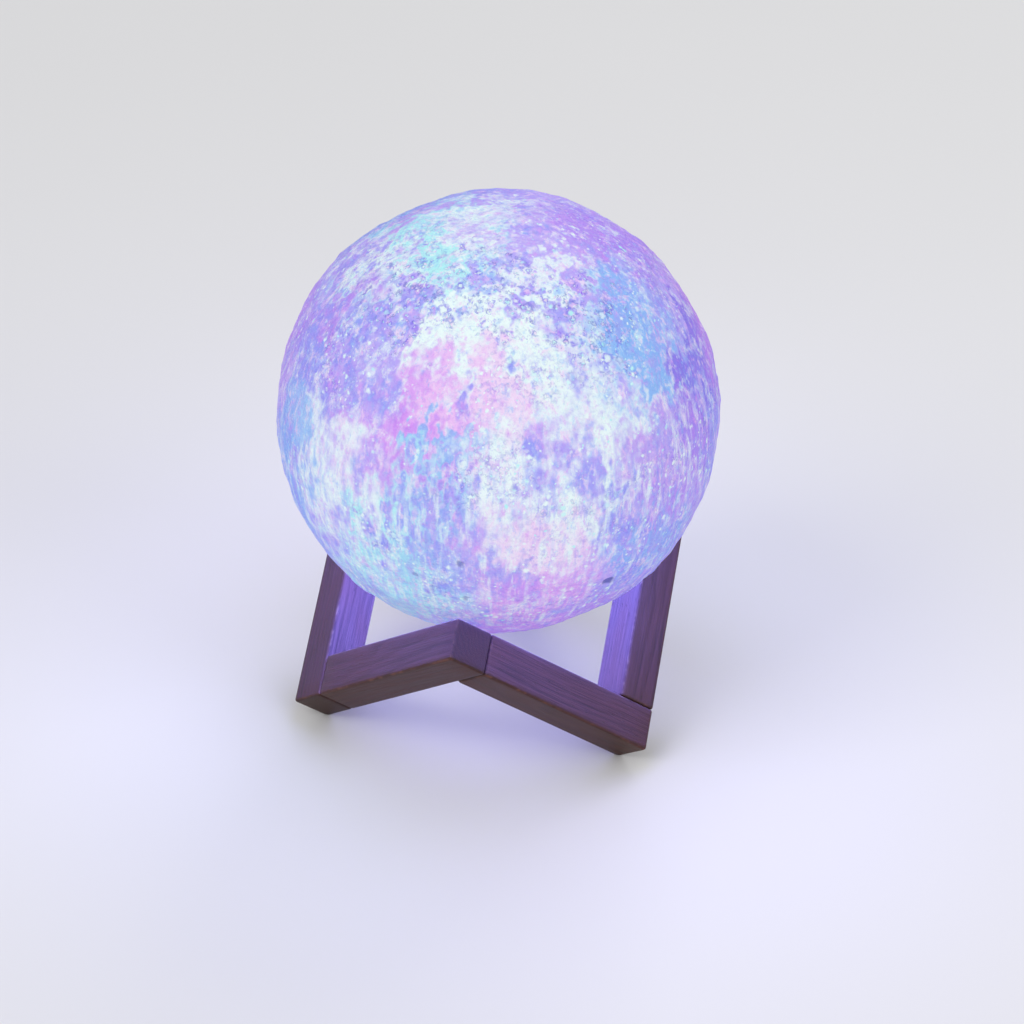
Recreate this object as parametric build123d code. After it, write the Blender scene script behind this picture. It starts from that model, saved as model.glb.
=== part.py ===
from build123d import *
import math
import os

# Galaxy lamp: a round lit globe that lies in a zigzag cradle of six wooden bars.
# Millimetres, +Z up. The origin is on the lamp's upright axis, at table level.
# The cradle's front raised corner points to -Y.

# Cradle: six equal square bars along the zigzag outline of a cube stood on one corner
bar_section = 15.0
bar_length = 73.5
bar_edge_round = 1.0
foot_flat_depth = 1.5
dowel_diameter = 5.0
dowel_depth_in_side = 8.0
dowel_depth_in_end = 12.0
dowel_clearance = 0.05
dowel_end_clearance = 0.5

# Globe and its bottom opening
globe_diameter = 150.0
shade_wall = 1.6
opening_diameter = 50.0
seat_clearance = 0.3
glue_gap = 0.1

# Base cap, which closes the opening
cap_edge_gap = 0.3
cap_rim_thickness = 2.5
cap_wall = 2.2
cap_hollow_step = 0.1

# Mount ring, glued inside the opening
ring_width = 10.0
ring_overlap = 1.8
ring_thickness = 6.0
lug_width = 7.5
lug_housing_gap = 1.4
cap_screw_angle = 90.0

# Screws: head diameter, head height, shank diameter and length
cap_screw = {"head": 4.6, "head_height": 1.7, "shank": 2.5, "length": 7.0}
housing_screw = {"head": 4.2, "head_height": 1.4, "shank": 2.2, "length": 5.0}
board_screw = {"head": 3.6, "head_height": 1.3, "shank": 2.0, "length": 6.0}
led_screw = {"head": 3.2, "head_height": 1.1, "shank": 1.8, "length": 2.8}
screw_slot_width = 0.6
screw_slot_depth = 0.6
screw_hole_clearance = 0.15
pilot_clearance = 0.04
screw_tip_room = 0.3
screw_head_gap = 0.9
screw_floor_thickness = 1.8

# Push button and its switch
button_diameter = 12.0
button_hollow_gap = 0.8
button_proud = 0.4
button_gap = 0.3
button_edge_round = 0.6
button_travel = 0.8
button_flange_width = 1.2
button_flange_thickness = 1.2
button_stem_diameter = 4.0
button_stem_length = 0.5
collar_rise = 0.1
collar_width = 2.1
switch_size = 6.0
switch_height = 3.5
plunger_diameter = 3.4
plunger_length = 1.5
plunger_depth = 1.2
plunger_gap = 0.05

# Charging socket
socket_offset = 7.5
socket_length = 8.94
socket_width = 3.26
socket_shell = 0.3
socket_slot_gap = 0.3
socket_recess = 0.3
socket_back = 1.2
tongue_length = 6.69
tongue_thickness = 0.7
tongue_recess = 0.9

# Charge lamp
pipe_diameter = 2.4
pipe_shoulder = 0.9
pipe_shoulder_thickness = 1.0
pipe_collar_width = 1.6
pipe_angle = -52.0
pipe_hollow_gap = 1.3
pipe_gap = 0.1
indicator_size = 2.0
indicator_height = 0.8

# Main board
board_thickness = 1.6
board_post_diameter = 4.8
board_post_edge = 3.5
chip_sizes = [(6.0, 5.0, 1.6), (4.0, 4.0, 1.2), (3.0, 1.8, 1.1)]
chip_angles = [-25.0, 20.0, 203.0]
chip_edge = 1.5
receiver_width = 5.0
receiver_depth = 4.0
receiver_height = 6.5
receiver_lens_diameter = 3.6
receiver_angle = 150.0
receiver_edge = 3.3

# Battery and its leads
battery_corner_room = 1.7
battery_thickness = 6.0
battery_length = 30.0
battery_edge_round = 2.4
battery_top_room = 0.8
tape_thickness = 0.8
tape_margin = 3.0
plug_height = 4.0
plug_depth = 3.6
plug_pitch = 2.0
lead_diameter = 1.2
battery_lead_length = 4.0
led_plug_from_screw = 5.0

# Lamp unit on its housing
housing_wall = 1.6
housing_board_gap = 0.6
partition_thickness = 1.5
ear_width = 7.0
ear_thickness = 2.0
ear_end_gap = 0.5
lead_slot_gap = 0.6
led_board_thickness = 1.6
led_size = 5.0
led_height = 1.6
led_edge = 3.1
led_pitch = 7.9
led_screw_edge = 2.6
diffuser_wall = 1.4
diffuser_skirt = 4.0
diffuser_rim_room = 1.2
rim_board_gap = 0.2
rim_wall = 1.2
rim_height = 1.5

# Sizes worked out from the ones above, from the opening inwards
outer_edge = bar_length + bar_section
globe_radius = globe_diameter / 2
opening_radius = opening_diameter / 2
cap_radius = opening_radius - cap_edge_gap
button_radius = button_diameter / 2
ring_inner_radius = opening_radius - ring_overlap
screw_circle_radius = ring_inner_radius - screw_head_gap - housing_screw["head"] / 2
housing_radius = screw_circle_radius - screw_head_gap - housing_screw["head"] / 2
housing_inner_radius = housing_radius - housing_wall
cap_hollow_radius = housing_inner_radius - cap_hollow_step
board_radius = housing_inner_radius - housing_board_gap
board_post_offset = board_radius - board_post_edge
button_offset = cap_hollow_radius - button_hollow_gap - button_flange_width - button_radius
pipe_shoulder_radius = pipe_diameter / 2 + pipe_shoulder
led_lead_y = board_post_offset - led_plug_from_screw
battery_width = 2 * math.sqrt((housing_inner_radius - battery_corner_room) ** 2 - battery_thickness ** 2)
rim_radius = housing_radius - diffuser_wall - diffuser_rim_room - rim_wall
led_board_radius = rim_radius - rim_board_gap
led_circle_radius = led_board_radius - led_edge - led_size / 2
led_pairs = int(math.pi * led_circle_radius / led_pitch)
led_screw_radius = led_board_radius - led_screw_edge
led_screw_angle = 90 / led_pairs
housing_screw_angle = cap_screw_angle - 60


def sphere_depth(radius, distance):
    """Height of a sphere's lower surface, from its centre, at a distance from its axis."""
    return -math.sqrt(radius ** 2 - distance ** 2)


# Heights inside the globe, from the globe's centre, worked out from the bottom upwards
cap_seat = sphere_depth(globe_radius, opening_radius) + cap_rim_thickness
cap_hollow_edge = sphere_depth(globe_radius - cap_wall, cap_hollow_radius)
collar_top = cap_hollow_edge + collar_rise
flange_bottom = collar_top + seat_clearance
flange_top = flange_bottom + button_flange_thickness
stem_top = flange_top + button_stem_length
switch_bottom = stem_top + plunger_length
board_bottom = switch_bottom + switch_height
board_top = board_bottom + board_thickness
plug_top = board_top + plug_height
battery_bottom = plug_top + battery_lead_length
battery_top = battery_bottom + battery_length
roof_bottom = battery_top + battery_top_room
roof_top = roof_bottom + housing_wall
led_board_top = roof_top + led_board_thickness
ring_top = cap_seat + ring_thickness
socket_far_corner = math.hypot(socket_offset + socket_width / 2, socket_length / 2)
socket_mouth = sphere_depth(globe_radius, socket_far_corner) + socket_recess

# The six corners of the zigzag, as corners of the cube, in order round the lamp. At each, one bar
# passes the corner and runs in the first direction, and the next bar is butted against its side
# in the second direction. Directions count the cube's three edges as 1, 2 and 3.
corners = {
    "left_bar": ((1, 0, 0), 3, 2),
    "front_left_bar": ((1, 1, 0), -2, -1),
    "front_right_bar": ((0, 1, 0), 1, 3),
    "right_bar": ((0, 1, 1), -3, -2),
    "back_right_bar": ((0, 0, 1), 2, 1),
    "back_left_bar": ((1, 0, 1), -1, -3),
}


def cube_edge(number):
    """Direction of one of the cube's edges, when the cube stands on its corner."""
    sign = 1 if number > 0 else -1
    turn = math.radians({1: 120, 2: -120, 3: 0}[abs(number)])
    flat = math.sqrt(2 / 3)
    rise = math.sqrt(1 / 3)
    return Vector(-flat * math.sin(turn), flat * math.cos(turn), rise) * sign


def cube_point(x, y, z):
    """A point given along the cube's three edges, in the lamp's own frame."""
    lowest = bar_length / math.sqrt(3) + foot_flat_depth
    point = cube_edge(1) * x + cube_edge(2) * y + cube_edge(3) * z
    return point - Vector(0, 0, lowest)


def globe_height():
    """Height of the globe's centre, when it rests on the three raised and rounded inner corners."""
    side = outer_edge - bar_edge_round
    end = bar_section - bar_edge_round
    reach = globe_radius + bar_edge_round + seat_clearance
    total = 2 * side + end
    spread = total ** 2 - 3 * (2 * side ** 2 + end ** 2 - reach ** 2)
    along_diagonal = (total + math.sqrt(spread)) / 3
    return along_diagonal * math.sqrt(3) - bar_length / math.sqrt(3) - foot_flat_depth


def place_at(angle, radius):
    """A point in plan, at an angle in degrees and a distance from the axis."""
    return radius * math.cos(math.radians(angle)), radius * math.sin(math.radians(angle))


def post(radius, bottom, top, x=0.0, y=0.0):
    """An upright round solid."""
    upright = Cylinder(radius, top - bottom, align=(Align.CENTER, Align.CENTER, Align.MIN))
    return Pos(x, y, bottom) * upright


def block(width, depth, bottom, top, x=0.0, y=0.0):
    """An upright rectangular solid."""
    upright = Box(width, depth, top - bottom, align=(Align.CENTER, Align.CENTER, Align.MIN))
    return Pos(x, y, bottom) * upright


def oval_block(width, length, bottom, top, x=0.0, y=0.0):
    """An upright solid whose section has round ends, longest along Y."""
    outline = SlotOverall(length, width, rotation=90)
    return Pos(x, y, bottom) * extrude(outline, top - bottom)


def tube(outer, inner, bottom, top):
    """An upright round tube on the axis."""
    return post(outer, bottom, top) - post(inner, bottom, top)


def around(count, start, radius):
    """Places on a circle round the axis, as an angle in degrees and a point."""
    angles = [start + index * 360 / count for index in range(count)]
    return [(angle, *place_at(angle, radius)) for angle in angles]


cap_screw_places = around(3, cap_screw_angle, screw_circle_radius)
housing_screw_places = around(3, housing_screw_angle, screw_circle_radius)
board_screw_places = [(0, -board_post_offset), (0, board_post_offset)]
led_screw_places = [(x, y) for angle, x, y in around(2, led_screw_angle, led_screw_radius)]
pipe_x, pipe_y = place_at(pipe_angle, cap_hollow_radius - pipe_hollow_gap - pipe_shoulder_radius)


def corner_frame(name):
    """Frame of a bar: its origin is the middle of its passing end, its Z runs along the bar and
    its X points to the bar that is butted against it."""
    corner, along, towards = corners[name]
    half = bar_section / 2
    middle = [outer_edge - half if bit else half for bit in corner]
    start = cube_point(*middle) - cube_edge(along) * half
    return Plane(start, x_dir=cube_edge(towards), z_dir=cube_edge(along))


def bar(name):
    """One bar of the cradle, with its two dowel holes and, where it is a foot, its flat."""
    half = bar_section / 2
    hole_radius = dowel_diameter / 2 + dowel_clearance
    solid = Box(bar_section, bar_section, bar_length, align=(Align.CENTER, Align.CENTER, Align.MIN))
    solid = fillet(solid.edges(), bar_edge_round)
    solid -= post(hole_radius, bar_length - dowel_depth_in_end, bar_length)
    side_hole = Pos(half - dowel_depth_in_side, 0, half) * Rot(0, 90, 0)
    solid -= side_hole * post(hole_radius, 0, dowel_depth_in_side)
    placed = corner_frame(name).location * solid
    below_table = block(4 * outer_edge, 4 * outer_edge, -2 * outer_edge, 0)
    return placed - below_table


def dowel(name):
    """The hidden dowel of one corner, half in each bar."""
    half = bar_section / 2
    start = half - dowel_depth_in_side + dowel_end_clearance
    length = dowel_depth_in_side + dowel_depth_in_end - 2 * dowel_end_clearance
    pin = Pos(start, 0, half) * Rot(0, 90, 0) * post(dowel_diameter / 2, 0, length)
    return corner_frame(name).location * pin


def screw(sizes, seat, x, y, points_up):
    """A screw with a slotted round head. The head lies against the seat height, and the shank
    runs up or down from it."""
    shank = post(sizes["shank"] / 2, 0, sizes["length"])
    head = post(sizes["head"] / 2, -sizes["head_height"], 0)
    slot = block(sizes["head"], screw_slot_width, -sizes["head_height"],
                 screw_slot_depth - sizes["head_height"])
    solid = shank + head - slot
    if not points_up:
        solid = Rot(180, 0, 0) * solid
    return Pos(x, y, seat) * solid


def screw_hole(sizes, x, y, bottom, top):
    """The clear hole of a screw's shank."""
    return post(sizes["shank"] / 2 + screw_hole_clearance, bottom, top, x, y)


def pilot_hole(sizes, x, y, bottom, top):
    """The tight hole that a screw's thread bites into."""
    return post(sizes["shank"] / 2 + pilot_clearance, bottom, top, x, y)


def shade():
    """The printed shell of the globe, with its bottom opening."""
    shell = Sphere(globe_radius) - Sphere(globe_radius - shade_wall)
    return shell - post(opening_radius, -globe_radius, 0)


def mount_ring():
    """The ring glued inside the shade's opening, with three lugs for the base cap's screws."""
    inside = Sphere(globe_radius - shade_wall - glue_gap)
    ring = tube(opening_radius + ring_width, ring_inner_radius, cap_seat, ring_top) & inside
    pilot_top = cap_seat + cap_screw["length"] - screw_floor_thickness + screw_tip_room
    lug_outer = ring_inner_radius + ring_overlap / 2
    lug_inner = housing_radius + lug_housing_gap
    for angle, x, y in cap_screw_places:
        lug = block(lug_outer - lug_inner, lug_width, cap_seat, ring_top, (lug_outer + lug_inner) / 2, 0)
        ring += Rot(0, 0, angle) * lug
        ring -= pilot_hole(cap_screw, x, y, cap_seat, pilot_top)
    return ring


def base_cap():
    """The cover of the opening: round outside like the globe, with the collars, posts, slot and
    holes for what sits in it."""
    outside = Sphere(globe_radius)
    solid = post(cap_radius, -globe_radius, cap_seat) & outside
    solid -= post(cap_hollow_radius, -globe_radius, cap_seat) & Sphere(globe_radius - cap_wall)
    collar = post(button_radius + button_gap + collar_width, -globe_radius, collar_top, -button_offset)
    solid += collar & outside
    pipe_collar = post(pipe_diameter / 2 + pipe_collar_width, -globe_radius, collar_top, pipe_x, pipe_y)
    solid += pipe_collar & outside
    for x, y in board_screw_places:
        solid += post(board_post_diameter / 2, -globe_radius, board_bottom, x, y) & outside
    for x, y in board_screw_places:
        tip = board_top - board_screw["length"] - screw_tip_room
        solid -= pilot_hole(board_screw, x, y, tip, board_bottom)
    solid -= post(button_radius + button_gap, -globe_radius, collar_top, -button_offset)
    solid -= post(pipe_diameter / 2 + pipe_gap, -globe_radius, collar_top, pipe_x, pipe_y)
    slot_width = socket_width + 2 * socket_slot_gap
    slot_length = socket_length + 2 * socket_slot_gap
    solid -= oval_block(slot_width, slot_length, -globe_radius, cap_seat, socket_offset)
    pocket_top = cap_seat - screw_floor_thickness
    for angle, x, y in cap_screw_places:
        solid -= post(cap_screw["head"] / 2 + button_gap, -globe_radius, pocket_top, x, y)
        solid -= screw_hole(cap_screw, x, y, pocket_top, cap_seat)
    for angle, x, y in housing_screw_places:
        tip = cap_seat + ear_thickness - housing_screw["length"] - screw_tip_room
        solid -= pilot_hole(housing_screw, x, y, tip, cap_seat)
    return solid


def cap_screws():
    """The three screws that hold the base cap to the mount ring."""
    seat = cap_seat - screw_floor_thickness
    return Compound([screw(cap_screw, seat, x, y, True) for angle, x, y in cap_screw_places])


def housing_screws():
    """The three screws that hold the lamp housing to the base cap."""
    seat = cap_seat + ear_thickness
    return Compound([screw(housing_screw, seat, x, y, False) for angle, x, y in housing_screw_places])


def button():
    """The push button, with the flange that keeps it in the cap and the stem on the plunger."""
    face = -globe_radius - button_proud
    solid = post(button_radius, face, flange_bottom, -button_offset)
    solid = fillet(solid.edges().sort_by(Axis.Z)[0], button_edge_round)
    solid += post(button_radius + button_flange_width, flange_bottom, flange_top, -button_offset)
    solid += post(button_stem_diameter / 2, flange_top, stem_top, -button_offset)
    return solid


def switch_plunger():
    """The switch's moving pin, pushed by the button's stem."""
    top = switch_bottom + plunger_depth
    return post(plunger_diameter / 2, stem_top, top, -button_offset)


def tact_switch():
    """The body of the switch under the board, open where its plunger runs."""
    solid = block(switch_size, switch_size, switch_bottom, board_bottom, -button_offset)
    hole_top = switch_bottom + plunger_depth + button_travel + seat_clearance
    return solid - post(plunger_diameter / 2 + plunger_gap, switch_bottom, hole_top, -button_offset)


def charge_socket():
    """The charging inlet: an oval metal shell, open at its mouth and closed at the board."""
    outside = oval_block(socket_width, socket_length, socket_mouth, board_bottom, socket_offset)
    inner_width = socket_width - 2 * socket_shell
    inner_length = socket_length - 2 * socket_shell
    back = board_bottom - socket_back
    return outside - oval_block(inner_width, inner_length, socket_mouth, back, socket_offset)


def socket_tongue():
    """The contact tongue that stands in the middle of the charging inlet."""
    back = board_bottom - socket_back
    return block(tongue_thickness, tongue_length, socket_mouth + tongue_recess, back, socket_offset)


def light_pipe():
    """The clear pin that shows the charge lamp's light at the cap's outer face."""
    top = board_bottom - indicator_height
    pin = post(pipe_diameter / 2, -globe_radius, top, pipe_x, pipe_y) & Sphere(globe_radius)
    shoulder_top = collar_top + pipe_shoulder_thickness
    return pin + post(pipe_shoulder_radius, collar_top, shoulder_top, pipe_x, pipe_y)


def indicator_led():
    """The charge lamp, under the board."""
    bottom = board_bottom - indicator_height
    return block(indicator_size, indicator_size, bottom, board_bottom, pipe_x, pipe_y)


def main_board():
    """The round circuit board on the base cap's two posts."""
    solid = post(board_radius, board_bottom, board_top)
    for x, y in board_screw_places:
        solid -= screw_hole(board_screw, x, y, board_bottom, board_top)
    return solid


def board_screws():
    """The two screws that hold the main board to its posts."""
    return Compound([screw(board_screw, board_top, x, y, False) for x, y in board_screw_places])


def control_chips():
    """The circuits on top of the main board."""
    chips = []
    for (width, depth, height), angle in zip(chip_sizes, chip_angles):
        x, y = place_at(angle, board_radius - chip_edge - math.hypot(width, depth) / 2)
        chips.append(block(width, depth, board_top, board_top + height, x, y))
    return Compound(chips)


def remote_receiver():
    """The remote control's receiver, with its round lens."""
    x, y = place_at(receiver_angle, board_radius - receiver_edge)
    solid = block(receiver_width, receiver_depth, board_top, board_top + receiver_height, x, y)
    lens_height = board_top + receiver_height / 2
    return solid + Pos(x, y + receiver_depth / 2, lens_height) * Sphere(receiver_lens_diameter / 2)


def plug(pins, y):
    """A small plug on the main board, as wide as its pins need."""
    return block((pins + 1) * plug_pitch, plug_depth, board_top, plug_top, 0, y)


def straight_leads(pins, y, bottom, top):
    """Insulated leads side by side, one to each pin of a plug."""
    first = -(pins - 1) * plug_pitch / 2
    leads = [post(lead_diameter / 2, bottom, top, first + pin * plug_pitch, y) for pin in range(pins)]
    return Compound(leads)


def battery_y():
    """Middle of the battery's thickness, in front of the partition and its tape."""
    return -battery_thickness / 2


def battery():
    """The flat battery, upright in front of the partition."""
    solid = block(battery_width, battery_thickness, battery_bottom, battery_top, 0, battery_y())
    return fillet(solid.edges().filter_by(Axis.Z), battery_edge_round)


def battery_tape():
    """The foam tape between the battery and the partition."""
    width = battery_width - 2 * tape_margin
    bottom = battery_bottom + tape_margin
    top = battery_top - tape_margin
    return block(width, tape_thickness, bottom, top, 0, tape_thickness / 2)


def light_housing():
    """The cup over the main board: wall, roof, partition, three ears and the diffuser's rim."""
    solid = tube(housing_radius, housing_inner_radius, cap_seat, roof_bottom)
    solid += post(housing_radius, roof_bottom, roof_top)
    partition_y = tape_thickness + partition_thickness / 2
    partition = block(2 * housing_radius, partition_thickness, battery_bottom, roof_bottom, 0, partition_y)
    solid += partition & post(housing_radius, battery_bottom, roof_bottom)
    solid += tube(rim_radius + rim_wall, rim_radius, roof_top, roof_top + rim_height)
    ear_end = ring_inner_radius - ear_end_gap
    for angle, x, y in housing_screw_places:
        ear_length = ear_end - housing_inner_radius
        ear = block(ear_length, ear_width, cap_seat, cap_seat + ear_thickness, ear_end - ear_length / 2, 0)
        ear -= post(housing_inner_radius, cap_seat, cap_seat + ear_thickness)
        solid += Rot(0, 0, angle) * ear
        solid -= screw_hole(housing_screw, x, y, cap_seat, cap_seat + ear_thickness)
    slot_width = 3 * plug_pitch + lead_diameter + 2 * lead_slot_gap
    slot_depth = lead_diameter + 2 * lead_slot_gap
    solid -= block(slot_width, slot_depth, roof_bottom, roof_top, 0, led_lead_y)
    for x, y in led_screw_places:
        solid -= pilot_hole(led_screw, x, y, roof_bottom, roof_top)
    return solid


def led_board():
    """The round board of the light sources, on the housing's roof."""
    solid = post(led_board_radius, roof_top, led_board_top)
    for x, y in led_screw_places:
        solid -= screw_hole(led_screw, x, y, roof_top, led_board_top)
    return solid


def leds():
    """The light sources: one in the middle and an even number in a ring round it, so that the
    board's two opposite screws both stand between them."""
    sources = [block(led_size, led_size, led_board_top, led_board_top + led_height)]
    for angle, x, y in around(2 * led_pairs, 0, led_circle_radius):
        sources.append(Rot(0, 0, angle) * block(led_size, led_size, led_board_top,
                                               led_board_top + led_height, led_circle_radius))
    return Compound(sources)


def led_board_screws():
    """The two screws that hold the light board to the roof."""
    return Compound([screw(led_screw, led_board_top, x, y, False) for x, y in led_screw_places])


def diffuser():
    """The milky dome over the light sources, round the housing's rim."""
    skirt_top = roof_top + diffuser_skirt
    inner_radius = housing_radius - diffuser_wall
    dome = Pos(0, 0, skirt_top) * (Sphere(housing_radius) - Sphere(inner_radius))
    dome -= post(housing_radius, skirt_top - housing_radius, skirt_top)
    return dome + tube(housing_radius, inner_radius, roof_top, skirt_top)


def globe_parts():
    """Every piece of the globe, about the globe's centre."""
    return {
        "shade": shade(),
        "mount_ring": mount_ring(),
        "base_cap": base_cap(),
        "cap_screws": cap_screws(),
        "button": button(),
        "switch_plunger": switch_plunger(),
        "tact_switch": tact_switch(),
        "charge_socket": charge_socket(),
        "socket_tongue": socket_tongue(),
        "light_pipe": light_pipe(),
        "indicator_led": indicator_led(),
        "main_board": main_board(),
        "board_screws": board_screws(),
        "control_chips": control_chips(),
        "remote_receiver": remote_receiver(),
        "battery_plug": plug(2, battery_y()),
        "battery_leads": straight_leads(2, battery_y(), plug_top, battery_bottom),
        "battery": battery(),
        "battery_tape": battery_tape(),
        "light_housing": light_housing(),
        "housing_screws": housing_screws(),
        "led_plug": plug(4, led_lead_y),
        "led_leads": straight_leads(4, led_lead_y, plug_top, roof_top),
        "led_board": led_board(),
        "leds": leds(),
        "led_board_screws": led_board_screws(),
        "diffuser": diffuser(),
    }


def all_parts():
    """Every piece of the lamp in its place."""
    parts = {name: bar(name) for name in corners}
    parts["joint_dowels"] = Compound([dowel(name) for name in corners])
    centre = Pos(0, 0, globe_height())
    for name, piece in globe_parts().items():
        parts[name] = centre * piece
    return parts


os.makedirs("parts", exist_ok=True)
for node, piece in all_parts().items():
    export_step(piece, f"parts/{node}.step")
print("globe centre height", round(globe_height(), 3))
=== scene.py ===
"""Looks of a lit galaxy lamp: a printed globe that rests in a zigzag cradle of dark wood."""

import logging
import math
from dataclasses import dataclass, field
from enum import Enum

import bmesh
import bpy
from mathutils import Matrix, Vector, noise

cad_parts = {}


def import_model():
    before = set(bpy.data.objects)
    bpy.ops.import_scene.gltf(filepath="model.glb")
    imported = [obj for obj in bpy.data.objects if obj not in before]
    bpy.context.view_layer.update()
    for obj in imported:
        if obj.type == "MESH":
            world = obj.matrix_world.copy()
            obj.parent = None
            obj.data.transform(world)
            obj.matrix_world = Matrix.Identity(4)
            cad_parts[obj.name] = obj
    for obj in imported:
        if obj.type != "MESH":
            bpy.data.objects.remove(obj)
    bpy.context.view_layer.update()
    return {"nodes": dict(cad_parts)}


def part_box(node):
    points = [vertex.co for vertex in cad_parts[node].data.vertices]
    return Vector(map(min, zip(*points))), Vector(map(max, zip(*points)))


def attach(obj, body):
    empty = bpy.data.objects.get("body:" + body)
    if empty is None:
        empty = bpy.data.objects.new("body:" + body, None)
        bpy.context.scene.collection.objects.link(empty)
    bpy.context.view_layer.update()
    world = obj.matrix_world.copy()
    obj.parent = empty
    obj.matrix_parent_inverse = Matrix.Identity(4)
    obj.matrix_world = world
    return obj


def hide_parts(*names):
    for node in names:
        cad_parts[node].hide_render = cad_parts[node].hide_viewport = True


MM = 0.001
log = logging.getLogger("galaxy_lamp")

Socket = bpy.types.NodeSocket
Value = "Socket | Hue | float | tuple"


def linear(colour: tuple) -> tuple:
    """Turn a colour as it is seen on a screen into the linear colour that a shader takes.

    Args:
        colour: Red, green and blue from 0 to 1, as seen.

    Returns:
        Linear red, green and blue, and an alpha of 1.
    """
    toe = 0.04045
    parts = [c / 12.92 if c <= toe else ((c + 0.055) / 1.055) ** 2.4 for c in colour]
    return (parts[0], parts[1], parts[2], 1.0)


def heading(azimuth: float, elevation: float) -> Vector:
    """Direction from the globe's centre.

    Args:
        azimuth: Degrees round the upright axis, from +X towards +Y.
        elevation: Degrees above the globe's equator.

    Returns:
        A vector of length one.
    """
    turn = math.radians(azimuth)
    rise = math.radians(elevation)
    flat = math.cos(rise)
    return Vector((flat * math.cos(turn), flat * math.sin(turn), math.sin(rise)))


def put(name: str, data: bpy.types.ID) -> bpy.types.Object:
    """Put a mesh, a lamp or a camera into the scene.

    Args:
        name: The new object's name.
        data: What the object shows.

    Returns:
        The new object.
    """
    thing = bpy.data.objects.new(name, data)
    bpy.context.scene.collection.objects.link(thing)
    return thing


class Hue(Enum):
    """Colours of the globe's print, as they are seen when the lamp is lit, and the painted shade round its
    grains.
    """

    AQUA_WHITE = (0.93, 1.00, 1.00)
    AQUA = (0.68, 0.97, 0.98)
    SKY = (0.53, 0.74, 0.99)
    PERIWINKLE = (0.60, 0.63, 0.99)
    LAVENDER = (0.78, 0.69, 0.99)
    VIOLET = (0.71, 0.52, 0.97)
    DEEP_VIOLET = (0.46, 0.38, 0.93)
    ORCHID = (0.87, 0.58, 0.98)
    PALE_PINK = (0.96, 0.80, 0.98)
    # painted shade round the grains, not a colour of the print
    GRAIN_SHADE = (0.40, 0.44, 0.80)

    def shade(self) -> tuple:
        """The colour as a shader takes it."""
        return linear(self.value)


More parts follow.
